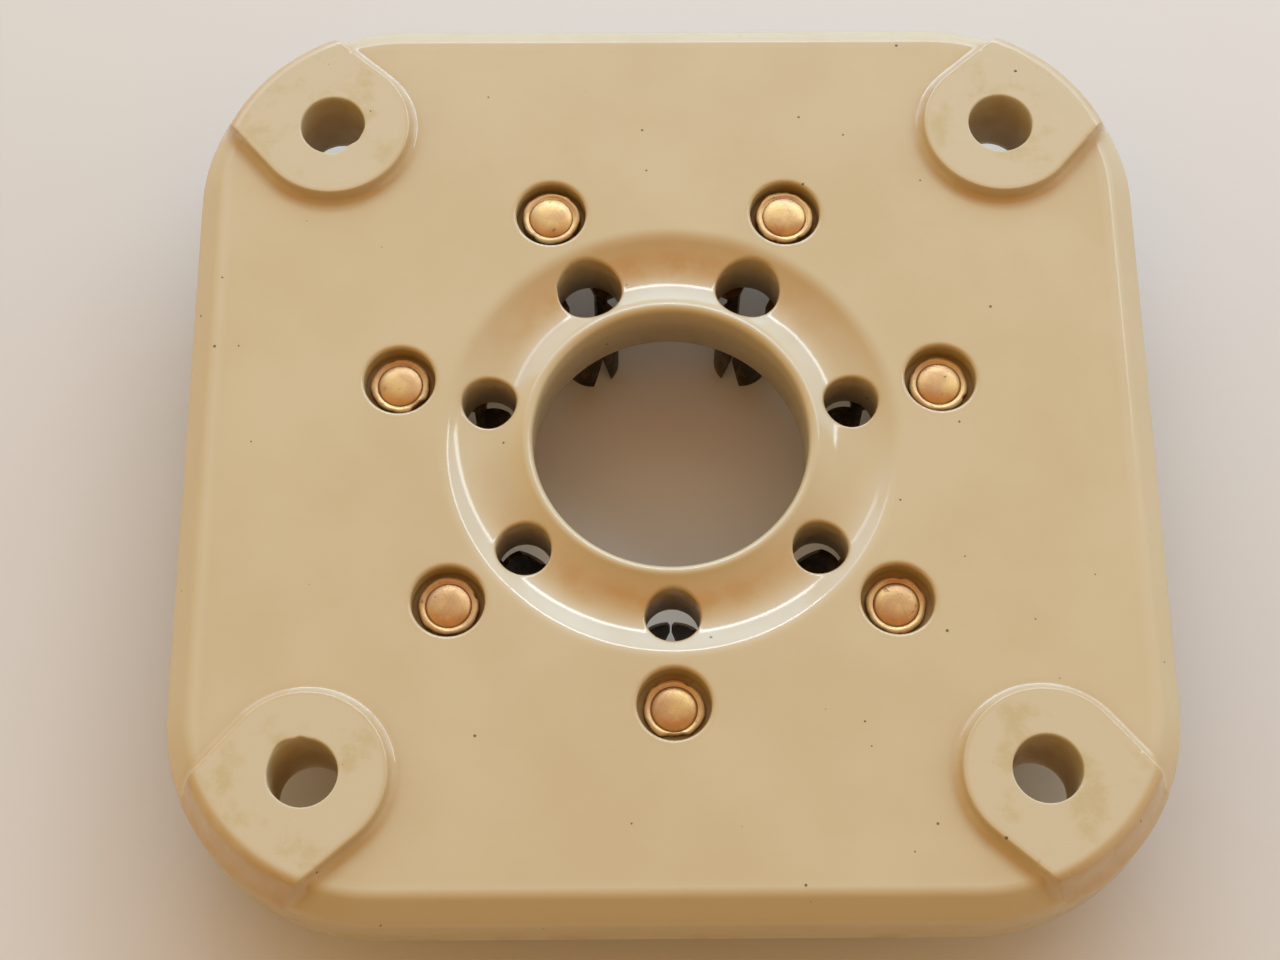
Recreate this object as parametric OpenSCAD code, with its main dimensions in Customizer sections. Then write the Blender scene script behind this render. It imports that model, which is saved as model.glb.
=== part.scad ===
// Ceramic seven-pin socket: a glazed square plate with raised mounting pads,
// and under it seven riveted contacts, each with two springy jaws.
// The origin is the centre of the mounting holes on the plane of the pad tops, +Z up.

/* [Plate] */
// Width of the square plate over its sides
plate_w = 84.2; // [82:0.1:100]
// Thickness of the plate from its glazed top to its underside
plate_t = 7.3; // [6.5:0.1:10]
// Radius of the rounded corners in plan
corner_r = 18; // [12:0.5:20]
// Width and height of the bevel along the top edge
bevel = 2.1; // [1.5:0.1:3]
// Radius of the soft glazed edges of the bevel
edge_r = 1.2; // [0.4:0.1:2]
// Diameter of the round recess under the plate
recess_dia = 66; // [62:0.5:70]
// Depth of the round recess under the plate
recess_depth = 1.2; // [0.6:0.1:2]

/* [Mounting pads] */
// Distance between neighbouring mounting holes
mount_pitch = 60.3; // [58:0.1:61]
// Diameter of a mounting hole
mount_hole_dia = 5.75; // [4.5:0.05:7]
// Radius of the round end of a pad
pad_r = 7; // [5.5:0.1:8]
// Angle at which each side of a pad runs in towards the corner
pad_taper = 4; // [0:0.5:8]
// Height of the pads above the glazed top
pad_h = 1.25; // [0.9:0.05:2]
// Radius of the fillet at the foot of a pad
pad_fillet = 1.05; // [0.5:0.05:1.1]
// Width of the steep bevel at the outer edge of a pad
pad_bevel = 1.5; // [1:0.1:2]

/* [Centre hole and groove] */
// Diameter of the centre hole
centre_hole_dia = 23.8; // [22:0.1:24.2]
// Width of the round-bottomed groove that the pin holes lie in
groove_w = 6.8; // [6:0.1:7.2]
// Depth of the groove
groove_depth = 1.1; // [0.9:0.05:1.4]
// Radius of the outer edge of the groove
groove_edge_r = 2.5; // [1.2:0.1:2.8]

/* [Pins] */
// Diameter of the circle that the pins lie on
pin_circle_dia = 32.2; // [31.5:0.1:33]
// Diameter of the five plain pins, as the jaws hold them
pin_dia = 4; // [3.6:0.05:4.2]
// Diameter of the two heater pins, as the jaws hold them
heater_pin_dia = 4.2; // [4:0.05:4.6]
// Diameter of a plain pin's hole in the plate
pin_hole_dia = 4.7; // [4.4:0.05:5]
// Diameter of a heater pin's hole in the plate
heater_hole_dia = 5.65; // [5.2:0.05:5.9]

/* [Rivets] */
// Diameter of the circle that the rivets lie on
rivet_circle_dia = 48.2; // [47:0.1:50]
// Diameter of the recess around a rivet
rivet_recess_dia = 6.2; // [5.8:0.1:7]
// Depth of the recess around a rivet
rivet_recess_depth = 2.1; // [1.6:0.1:2.6]
// Radius of the eased edge of the recess
rivet_recess_ease = 0.3; // [0.1:0.05:0.5]
// Diameter of the rivet's shank
rivet_dia = 3.2; // [2.6:0.1:3.4]
// Room around the shank in the ceramic
rivet_play = 0.15; // [0.05:0.05:0.3]
// Diameter of the spread upper end of the rivet
spread_dia = 5.3; // [4.8:0.1:5.6]
// Thickness of the spread upper end
spread_t = 0.6; // [0.4:0.05:0.9]
// Diameter of the low dome on the spread end
dome_dia = 3.9; // [3:0.1:4.2]
// Height of the dome
dome_h = 0.35; // [0.2:0.05:0.6]
// Diameter of the rivet's lower head
rivet_head_dia = 5.8; // [5:0.1:6.2]
// Thickness of the rivet's lower head
rivet_head_t = 1; // [0.6:0.1:1.4]

/* [Contacts] */
// Thickness of the contact's strap
strap_t = 0.8; // [0.5:0.05:1.1]
// Width of the strap
strap_w = 7.2; // [6.8:0.1:8]
// Room around the rivet's shank in the strap
strap_play = 0.05; // [0.03:0.01:0.1]
// Wall of the jaws
jaw_t = 0.4; // [0.35:0.05:0.6]
// Length of the contact below the floor of the recess
jaw_length = 9.8; // [8.5:0.1:12]
// Width of the gap between the jaws on their outer side
jaw_gap = 2.7; // [2:0.1:2.9]
// Depth of the opening between the strap and the jaws
jaw_window = 0.5; // [0.3:0.05:0.7]
// Further depth to which the opening falls at the seam
jaw_fall = 2; // [1.2:0.1:2.3]
// Share of the jaw's radius at which the opening ends
neck_share = 0.45; // [0.35:0.05:0.55]
// Depth below the floor at which the jaws part from each other
slit_start = 4.9; // [4.7:0.1:6]
// Width of the slit between the lower ends of the jaws
slit_w = 1.8; // [1.2:0.1:2.4]
// Width of the seam where the jaws meet above the slit
seam_w = 0.15; // [0.1:0.05:0.3]
// Width of the notch at the top of the seam
notch_w = 0.6; // [0.4:0.1:0.7]
// Width of the soldering lug
lug_w = 4; // [3:0.1:5]
// Length of the flat part of the lug, past the rivet's head
lug_flat = 1.6; // [1:0.1:2.4]
// Length of the bent part of the lug
lug_length = 5.5; // [4:0.1:6]
// Angle at which the lug is bent down
lug_angle = 40; // [30:1:60]
// Inside radius of the bend in the lug
lug_bend = 0.8; // [0.5:0.1:1.2]
// Diameter of the wire hole in the lug
wire_hole_dia = 1.8; // [1.2:0.1:2.2]

/* [Hidden] */
$fn = 96;
pin_count = 7;
heater_pins = [4, 5];
past = 1;

half_w = plate_w / 2;
top_z = -pad_h;
bottom_z = top_z - plate_t;
floor_z = bottom_z + recess_depth;
bevel_z = top_z - bevel;
corner_at = half_w - corner_r;
pad_long = corner_r;
// Surfaces that join smoothly run into each other by a little, so that they cross
bite = 0.025;
nip = 0.01;
side_r = pad_r - bite;
pad_touch = side_r * [sin(pad_taper), cos(pad_taper)];
pad_end_y = (side_r - pad_long * sin(pad_taper)) / cos(pad_taper);
pad_overlap = 0.3;
pad_tuck = 0.3;
foot_tuck = 0.1;

pin_circle_r = pin_circle_dia / 2;
rivet_x = rivet_circle_dia / 2 - pin_circle_r;
rivet_floor_z = top_z - rivet_recess_depth;
rivet_head_z = floor_z - strap_t;

// Heights from the floor of the recess: the opening under the strap, and its lowest place at the seam
window_z = -strap_t - jaw_window;
seam_z = window_z - jaw_fall;
notch_depth = 1.5 * notch_w;
knee_share = 0.4;
notch_room = 0.5;

// The groove's section is a circle, its inner lip a small circle that touches it and the wall of the hole
groove_r = (pow(groove_w / 2, 2) + pow(groove_depth, 2)) / (2 * groove_depth);
groove_centre = [pin_circle_r, groove_r - groove_depth];
centre_hole_r = centre_hole_dia / 2;
lip_reach = pin_circle_r - centre_hole_r;
lip_b = lip_reach + groove_depth;
lip_c = pow(lip_reach, 2) + pow(groove_centre[1], 2) - pow(groove_r, 2);
lip_r = lip_b - sqrt(pow(lip_b, 2) - lip_c);
lip_centre = [centre_hole_r + lip_r, -lip_r];
lip_touch = groove_centre + groove_r * unit(lip_centre - groove_centre);
edge_run = sqrt(pow(groove_r + groove_edge_r, 2) - pow(groove_centre[1] + groove_edge_r, 2));
edge_centre = [pin_circle_r + edge_run, -groove_edge_r];
edge_touch = groove_centre + groove_r * unit(edge_centre - groove_centre);

function unit(v) = v / norm(v);
function pin_angle(i) = -90 - (i - 1) * 360 / pin_count;
function is_heater(i) = len(search(i, heater_pins)) > 0;
function pin_r(i) = (is_heater(i) ? heater_pin_dia : pin_dia) / 2;
function hole_r(i) = (is_heater(i) ? heater_hole_dia : pin_hole_dia) / 2;
function jaw_out(i) = pin_r(i) + jaw_t;

// Sliver between a convex corner p, with neighbours a and b, and the arc of radius r that eases it
module corner_sliver(p, a, b, r) {
    to_a = unit(a - p);
    to_b = unit(b - p);
    half_angle = acos(to_a * to_b) / 2;
    run = r / tan(half_angle);
    centre = p + unit(to_a + to_b) * r / sin(half_angle);
    difference() {
        polygon([p, p + to_a * run, centre, p + to_b * run]);
        translate(centre) circle(r + nip);
    }
}

// Half of the plate's section out to reach, with its bevel from (reach - inset, high) down to (reach, low)
module edge_section(reach, inset, high, low) {
    foot = [reach, bottom_z];
    brow = [reach, low];
    crown = [reach - inset, high];
    difference() {
        polygon([[0, bottom_z], foot, brow, crown, [0, high]]);
        corner_sliver(brow, foot, crown, edge_r);
        corner_sliver(crown, brow, [0, high], edge_r);
    }
}

// Square block with round corners and a bevelled top edge, smaller than the plate by tuck on each side
module bevelled_block(inset, high, tuck = 0) {
    for (turn = [0:90:270]) {
        rotate([0, 0, turn]) {
            translate([corner_at, corner_at, 0])
                rotate_extrude(angle = 90) edge_section(corner_r - tuck, inset, high, bevel_z);
            translate([0, corner_at, 0])
                rotate([90, 0, 0])
                linear_extrude(2 * corner_at) edge_section(half_w - tuck, inset, high, bevel_z);
        }
    }
}

// Section of the concave fillet at the foot of a pad, with its root inside the pad and the plate
module fillet_section(r) {
    centre = r - bite;
    difference() {
        translate([-past, -past]) square(centre + past);
        translate([centre, centre]) circle(r);
    }
}

// One raised pad around its mounting hole at the origin, with the plate's corner towards +X
module pad_body() {
    translate([0, 0, bottom_z]) linear_extrude(-bottom_z) {
        circle(pad_r);
        polygon([
            [0, 0], pad_touch, [pad_long, pad_end_y],
            [pad_long, -pad_end_y], [pad_touch[0], -pad_touch[1]]
        ]);
    }
}

// The fillet around the foot of one pad: a ring around the round end and a strip along each side
module pad_foot() {
    translate([0, 0, top_z])
        rotate([0, 0, 90 - pad_taper])
        rotate_extrude(angle = 180 + 2 * pad_taper)
        translate([pad_r, 0]) fillet_section(pad_fillet);
    for (side = [0, 1]) {
        mirror([0, side, 0])
            translate([pad_touch[0], pad_touch[1], top_z])
            rotate([0, 0, -pad_taper])
            translate([-pad_overlap, 0, 0])
            rotate([90, 0, 90])
            linear_extrude(pad_long) fillet_section(pad_fillet - 2 * bite);
    }
}

module at_mounts() {
    for (turn = [45:90:315]) {
        rotate([0, 0, turn]) translate([mount_pitch / sqrt(2), 0, 0]) children();
    }
}

module at_pin(i) {
    rotate([0, 0, pin_angle(i)]) translate([pin_circle_r, 0, 0]) children();
}

// What the groove and the centre hole take from the plate, as a section
module groove_section() {
    square_top = past + groove_depth;
    translate([0, bottom_z - top_z - past]) square([centre_hole_r, plate_t + 2 * past]);
    translate(groove_centre) circle(groove_r);
    difference() {
        polygon([
            [0, lip_centre[1]], lip_centre, lip_touch, [pin_circle_r, 0],
            edge_touch, edge_centre, [edge_centre[0], square_top], [0, square_top]
        ]);
        translate(lip_centre) circle(lip_r);
        translate(edge_centre) circle(groove_edge_r);
    }
}

// What a rivet's recess takes from the plate, as a section with an eased upper edge
module rivet_recess_section() {
    wall = rivet_recess_dia / 2;
    ease = rivet_recess_ease;
    translate([0, -rivet_recess_depth]) square([wall, rivet_recess_depth + past]);
    difference() {
        translate([0, -ease]) square([wall + ease, ease + past]);
        translate([wall + ease, -ease]) circle(ease);
    }
}

module ceramic_base() {
    color([0.80, 0.70, 0.52]) difference() {
        union() {
            bevelled_block(bevel, top_z);
            intersection() {
                at_mounts() pad_body();
                bevelled_block(pad_bevel - pad_tuck, 0, pad_tuck);
            }
            intersection() {
                at_mounts() pad_foot();
                bevelled_block(bevel + pad_h, 0, foot_tuck);
            }
        }
        translate([0, 0, top_z]) rotate_extrude() groove_section();
        translate([0, 0, bottom_z - past]) cylinder(d = recess_dia, h = recess_depth + past);
        at_mounts() translate([0, 0, bottom_z - past])
            cylinder(d = mount_hole_dia, h = -bottom_z + 2 * past);
        for (i = [1:pin_count]) {
            at_pin(i) {
                translate([0, 0, bottom_z]) cylinder(r = hole_r(i), h = plate_t);
                translate([rivet_x, 0, top_z]) rotate_extrude() rivet_recess_section();
                translate([rivet_x, 0, bottom_z])
                    cylinder(d = rivet_dia + 2 * rivet_play, h = plate_t);
            }
        }
    }
}

// Flat strap of one contact in plan, with the pin's axis at the origin and the plate's edge towards +X
module strap_plan(i) {
    fork_x = neck_share * jaw_out(i);
    difference() {
        union() {
            translate([fork_x, -strap_w / 2]) square([rivet_x - fork_x, strap_w]);
            translate([rivet_x, 0]) circle(d = strap_w);
        }
        circle(pin_r(i));
        translate([0, -jaw_gap / 2]) square([hole_r(i) + notch_room, jaw_gap]);
    }
}

// Side view of the soldering lug: flat from the rivet to the bend at the origin, then down
module lug_section() {
    lean = tan(lug_angle / 2);
    fall = [cos(lug_angle), -sin(lug_angle)];
    start = -lug_flat - strap_w / 2;
    upper = [(lug_bend + strap_t) * lean, 0];
    lower = [lug_bend * lean, -strap_t];
    upper_end = upper + fall * (upper[0] + lug_length);
    lower_end = lower + fall * (lower[0] + lug_length);
    difference() {
        polygon([[start, 0], upper, upper_end, lower_end, lower, [start, -strap_t]]);
        corner_sliver(upper, [start, 0], upper_end, lug_bend + strap_t);
    }
    corner_sliver(lower, [start, -strap_t], lower_end, lug_bend);
}

// Soldering lug with its round end and wire hole
module lug() {
    tip = lug_length - lug_w / 2;
    difference() {
        translate([0, lug_w / 2, 0]) rotate([90, 0, 0]) linear_extrude(lug_w) lug_section();
        translate([0, 0, -lug_bend - strap_t])
            rotate([0, lug_angle, 0])
            translate([tip, 0, 0])
            linear_extrude(lug_bend + strap_t + past) {
                circle(d = wire_hole_dia);
                difference() {
                    translate([0, -lug_w]) square([lug_w, 2 * lug_w]);
                    circle(d = lug_w);
                }
            }
    }
}

// Opening between the two jaws on their inner side: a notch, a seam and a slit that widens downwards
module seam_plan() {
    notch_slope = (notch_w - seam_w) / 2 / notch_depth;
    slit_slope = (slit_w - seam_w) / 2 / (jaw_length - slit_start);
    high_x = notch_w / 2 + past * notch_slope;
    low_z = -jaw_length - past;
    low_x = slit_w / 2 + past * slit_slope;
    polygon([
        [-high_x, seam_z + past], [-seam_w / 2, seam_z - notch_depth],
        [-seam_w / 2, -slit_start], [-low_x, low_z], [low_x, low_z], [seam_w / 2, -slit_start],
        [seam_w / 2, seam_z - notch_depth], [high_x, seam_z + past]
    ]);
}

// Side view of the opening under the strap, which falls from a knee to the seam
module window_side(i) {
    knee_x = knee_share * jaw_out(i);
    fall_slope = jaw_fall / (jaw_out(i) - knee_x);
    far_x = jaw_out(i) + past;
    neck_x = neck_share * jaw_out(i);
    polygon([
        [neck_x, past], [neck_x, window_z], [-knee_x, window_z],
        [-far_x, seam_z - past * fall_slope], [-far_x, past]
    ]);
}

// Two jaws around the pin's axis, hung from the strap by a neck on each side of the outer gap
module jaws(i) {
    reach = jaw_out(i) + past;
    difference() {
        translate([0, 0, -jaw_length]) cylinder(r = jaw_out(i), h = jaw_length);
        translate([0, 0, -jaw_length - past]) cylinder(r = pin_r(i), h = jaw_length + 2 * past);
        translate([0, -jaw_gap / 2, -jaw_length - past])
            cube([reach, jaw_gap, jaw_length + 2 * past]);
        translate([0, reach, 0]) rotate([90, 0, 0]) linear_extrude(2 * reach) window_side(i);
        rotate([90, 0, -90]) linear_extrude(reach) seam_plan();
    }
}

module contact(i) {
    color([0.48, 0.36, 0.20]) at_pin(i) translate([0, 0, floor_z]) {
        difference() {
            union() {
                translate([0, 0, -strap_t]) linear_extrude(strap_t) strap_plan(i);
                translate([rivet_x + strap_w / 2 + lug_flat, 0, 0]) lug();
            }
            translate([rivet_x, 0, -strap_t - past])
                cylinder(d = rivet_dia + 2 * strap_play, h = strap_t + 2 * past);
        }
        jaws(i);
    }
}

// Half section of a rivet: lower head, shank, spread upper end and low dome
module rivet_section() {
    dome_r = (pow(dome_dia / 2, 2) + pow(dome_h, 2)) / (2 * dome_h);
    dome_z = rivet_floor_z + spread_t;
    spread_r = spread_dia / 2;
    head_r = rivet_head_dia / 2;
    low_z = rivet_head_z - rivet_head_t;
    difference() {
        translate([0, low_z]) square([head_r, rivet_head_t]);
        corner_sliver([head_r, low_z], [head_r, rivet_head_z], [0, low_z], rivet_head_t / 2);
    }
    translate([0, low_z]) square([rivet_dia / 2, dome_z - low_z]);
    difference() {
        translate([0, rivet_floor_z]) square([spread_r, spread_t]);
        corner_sliver([spread_r, dome_z], [spread_r, rivet_floor_z], [0, dome_z], spread_t / 2);
    }
    intersection() {
        translate([0, dome_z + dome_h - dome_r]) circle(dome_r);
        translate([0, rivet_floor_z]) square([spread_r, spread_t + dome_h + past]);
    }
}

module rivet(i) {
    color([0.74, 0.56, 0.33]) at_pin(i) translate([rivet_x, 0, 0]) rotate_extrude() rivet_section();
}

ceramic_base();
for (i = [1:pin_count]) {
    contact(i);
    rivet(i);
}
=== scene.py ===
"""Ceramic seven-pin socket: the looks of its plate, rivets and contacts, and its stage."""

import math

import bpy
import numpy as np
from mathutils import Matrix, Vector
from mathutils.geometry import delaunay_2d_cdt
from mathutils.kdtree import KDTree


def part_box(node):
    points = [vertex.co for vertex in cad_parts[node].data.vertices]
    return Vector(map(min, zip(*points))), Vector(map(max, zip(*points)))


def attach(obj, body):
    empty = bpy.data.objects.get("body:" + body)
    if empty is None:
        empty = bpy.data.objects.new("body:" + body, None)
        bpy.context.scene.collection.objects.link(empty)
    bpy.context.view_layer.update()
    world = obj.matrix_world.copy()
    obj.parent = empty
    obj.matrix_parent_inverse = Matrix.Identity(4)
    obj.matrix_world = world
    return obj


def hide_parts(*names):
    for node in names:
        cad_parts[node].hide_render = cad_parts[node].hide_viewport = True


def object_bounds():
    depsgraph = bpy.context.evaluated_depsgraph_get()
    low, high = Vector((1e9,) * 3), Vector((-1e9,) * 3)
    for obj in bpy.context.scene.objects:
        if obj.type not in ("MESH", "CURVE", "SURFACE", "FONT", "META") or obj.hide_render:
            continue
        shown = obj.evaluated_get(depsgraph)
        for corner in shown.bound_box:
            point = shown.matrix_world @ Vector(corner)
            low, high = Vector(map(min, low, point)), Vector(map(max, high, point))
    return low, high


bl_info = {
    "name": "Ceramic Seven-Pin Socket",
    "version": (1, 0, 0),
    "blender": (4, 5, 0),
    "location": "View3D > Sidebar > Socket",
    "description": "Glazes the plate, works the rivets, tarnishes the contacts and sets the stage",
    "category": "Object",
}

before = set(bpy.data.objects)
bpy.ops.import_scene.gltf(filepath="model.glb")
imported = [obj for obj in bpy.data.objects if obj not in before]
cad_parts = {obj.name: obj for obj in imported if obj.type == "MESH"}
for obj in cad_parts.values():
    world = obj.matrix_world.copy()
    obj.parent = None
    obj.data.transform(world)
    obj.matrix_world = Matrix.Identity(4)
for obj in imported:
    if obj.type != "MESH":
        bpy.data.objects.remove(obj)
CAD_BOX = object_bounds()
PLATE_LOW, PLATE_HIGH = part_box("ceramic_base")

MM = 0.001
PIN_COUNT = 7
HEATER_PINS = (4, 5)


def plain(name, description, default, **details):
    """Property that holds a number."""
    return bpy.props.FloatProperty(name=name, description=description, default=default, **details)


def length(name, description, default):
    """Property that holds a length, with its default in millimetres."""
    return plain(name, description, default * MM, min=0.0, precision=5, subtype="DISTANCE", unit="LENGTH")


def angle(name, description, default):
    """Property that holds an angle, with its default in degrees."""
    return plain(name, description, math.radians(default), subtype="ANGLE", unit="ROTATION")


def share(name, description, default):
    """Property that holds a share between 0 and 1."""
    return plain(name, description, default, min=0.0, max=1.0, subtype="FACTOR")


def wattage(name, description, default):
    """Property that holds the power of lamps."""
    return plain(name, description, default, min=0.0, unit="POWER")


def colour(name, description, default):
    """Property that holds a colour, with its default as eight-bit display values."""
    linear = []
    for value in default:
        level = value / 255
        linear.append(level / 12.92 if level <= 0.04045 else ((level + 0.055) / 1.055) ** 2.4)
    return bpy.props.FloatVectorProperty(name=name, description=description, default=linear, size=3,
                                         min=0.0, max=1.0, subtype="COLOR")


class SocketPlateSettings(bpy.types.PropertyGroup):
    """Sizes of the ceramic plate, which follow the CAD model."""

    width: length("Width", "Width of the square plate", (PLATE_HIGH[0] - PLATE_LOW[0]) / MM)
    depth: length("Depth", "Height of the plate with its pads", (PLATE_HIGH[2] - PLATE_LOW[2]) / MM)
    corner: length("Corner radius", "Radius of the rounded corners", 18)
    bevel: length("Bevel", "Width and height of the bevel along the top edge", 2.1)
    bevel_ease: length("Bevel ease", "Radius of the soft glazed edges of the bevel", 1.2)
    foot_ease: length("Foot ease", "Radius of the lower edge of the plate", 0.4)
    pad_height: length("Pad height", "Height of the pads above the glazed top", 1.25)
    pad_radius: length("Pad radius", "Radius of the round end of a pad", 7)
    pad_bevel: length("Pad bevel", "Width of the steep bevel at the outer edge of a pad", 1.5)
    pad_tuck: length("Pad tuck", "Distance at which a pad's bevel runs into the plate's", 0.3)
    pad_fillet: length("Pad fillet", "Radius of the glaze at the foot of a pad", 0.85)
    pad_ease: length("Pad ease", "Radius of the ground upper edge of a pad", 0.2)
    pad_taper: angle("Pad taper", "Angle of a pad's sides", 4)
    pad_draft: angle("Pad draft", "Lean of a pad's wall", 11)
    mount_pitch: length("Mount pitch", "Distance between neighbouring mounting holes", 60.3)
    mount_hole: length("Mounting hole", "Diameter of a mounting hole", 5.75)
    centre_hole: length("Centre hole", "Diameter of the centre hole", 23.8)
    groove_width: length("Groove width", "Width of the groove around the centre hole", 6.8)
    groove_depth: length("Groove depth", "Depth of the groove", 1.1)
    groove_edge: length("Groove edge", "Radius of the soft outer edge of the groove", 2.5)
    pin_circle: length("Pin circle", "Diameter of the circle of the pins", 32.2)
    pin_hole: length("Pin hole", "Diameter of a plain pin's hole", 4.7)
    heater_hole: length("Heater pin hole", "Diameter of a heater pin's hole", 5.65)
    rivet_circle: length("Rivet circle", "Diameter of the circle of the rivets", 48.2)
    rivet_recess: length("Rivet recess", "Diameter of the recess around a rivet", 6.2)
    rivet_recess_depth: length("Rivet recess depth", "Depth of the recess around a rivet", 2.1)
    rivet_hole: length("Rivet hole", "Diameter of the rivet's hole in the plate", 3.5)
    recess: length("Recess", "Diameter of the round recess under the plate", 66)
    recess_depth: length("Recess depth", "Depth of the round recess under the plate", 1.2)


class SocketGlazeSettings(bpy.types.PropertyGroup):
    """Colours and gloss of the ceramic."""

    glaze: colour("Glaze", "Main colour of the glaze", (200, 176, 138))
    pale: colour("Pale glaze", "Colour where the glaze is thin", (206, 185, 150))
    # Pooled tone: gathered glaze together with painted shade, in the groove, at the pads' feet, on their
    # outer bevels and around the rims
    pool: colour("Pooled glaze", "Warm colour where the glaze has gathered", (187, 142, 83))
    bare: colour("Bare ceramic", "Colour of the ground pads and the underside", (208, 191, 162))
    stain: colour("Stain", "Yellow-green stain on the pads", (188, 164, 106))
    speck: colour("Speck", "Dark specks in the glaze", (38, 30, 24))
    # Painted shade: a darker brown on the walls of the rivets' recesses and of the mounting holes
    hollow_shade: colour("Soot", "Brown dirt in the rivets' recesses and the mounting holes", (176, 146, 96))
    gloss: share("Gloss roughness", "Roughness of the clear glaze", 0.10)
    body: share("Body roughness", "Roughness of the ceramic under the glaze", 0.5)


class SocketRivetSettings(bpy.types.PropertyGroup):
    """Sizes and colours of the rivets."""

    shank: length("Shank", "Diameter of the shank", 3.2)
    spread: length("Spread end", "Diameter of the spread upper end", 5.3)
    spread_thickness: length("Spread thickness", "Thickness of the spread upper end", 0.6)
    dome: length("Dome", "Diameter of the low dome", 3.9)
    dome_height: length("Dome height", "Height of the low dome", 0.3)
    head: length("Lower head", "Diameter of the lower head", 5.8)
    head_thickness: length("Lower head thickness", "Thickness of the lower head", 1.0)
    strap_thickness: length("Strap thickness", "Thickness of the strap that the rivet holds", 0.8)
    brass: colour("Brass", "Bright brass of the rivets", (212, 172, 118))
    copper: colour("Copper tone", "Redder tone of the worn brass", (198, 154, 112))
    dull: colour("Dull brass", "Dull brown of the spread end", (196, 156, 112))
    patina: colour("Patina", "Grey-green patina on the spread end", (172, 158, 118))
    # Dark grime in the scratches and spots; in the seam it is grime together with painted shade
    grime_and_shade: colour("Grime", "Dark grime in the seam and the scratches", (58, 40, 26))


class SocketContactSettings(bpy.types.PropertyGroup):
    """Colours and edges of the contacts."""

    ease: length("Contact ease", "Width of the softened edges of the contacts", 0.06)
    brass: colour("Contact brass", "Brass of the contacts where it is clean", (176, 140, 84))
    # Contact tarnish is nearly black: real tarnish darkened further as painted shade
    tarnish: colour("Contact tarnish", "Dark tarnish of the contacts", (20, 16, 14))


class SocketStageSettings(bpy.types.PropertyGroup):
    """Floor, light and camera."""

    floor: colour("Floor", "Colour of the floor", (219, 212, 209))
    floor_low: plain("Floor height", "Height of the floor", CAD_BOX[0][2], precision=5, subtype="DISTANCE",
                     unit="LENGTH")
    window_power: wattage("Window power", "Power that the soft lamps at the back have shares of", 1.35)
    brow_power: wattage("Brow power", "Power that the bright strips above them have shares of", 1.15)
    window_tone: colour("Window tone", "Cool tone of the lamps at the back", (140, 212, 255))
    brow_tone: colour("Brow tone", "Tone of the bright strips", (228, 246, 255))
    sky: plain("Sky", "Strength of the soft light all around", 1.5, min=0.0)
    arch_0: colour("Arch at 0", "Soft light level with the floor at the back", (203, 165, 112))
    arch_45: colour("Arch at 45", "Soft light 45 degrees above the back", (219, 231, 255))
    arch_60: colour("Arch at 60", "Soft light 60 degrees above the back", (201, 197, 170))
    arch_75: colour("Arch at 75", "Soft light 75 degrees above the back", (190, 188, 165))
    arch_95: colour("Arch at 95", "Soft light just in front of the top", (182, 116, 72))
    arch_130: colour("Arch at 130", "Soft light halfway down the front", (178, 145, 86))
    arch_180: colour("Arch at 180", "Soft light level with the floor at the front", (36, 33, 36))
    left_tone: colour("Left tone", "Soft light from the left", (215, 195, 134))
    right_tone: colour("Right tone", "Soft light from the right", (217, 211, 183))
    lens: plain("Lens", "Focal length of the camera in millimetres", 68.86, min=1.0)


# Mesh and material helpers


def make_piece(name, vertices, faces, replaced):
    """Smooth mesh object from millimetre vertices, that rides on the body and stands for CAD nodes."""
    mesh = bpy.data.meshes.new(name)
    mesh.from_pydata([tuple(v) for v in np.asarray(vertices) * MM], [], faces)
    mesh.validate()
    mesh.shade_smooth()
    piece = bpy.data.objects.new(name, mesh)
    bpy.context.scene.collection.objects.link(piece)
    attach(piece, "root")
    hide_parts(*replaced)
    return piece


def paint(mesh, name, values):
    """Store one number per vertex for a material to read."""
    values = np.asarray(values, dtype=np.float32)
    mesh.attributes.new(name, "FLOAT", "POINT").data.foreach_set("value", values)


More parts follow.
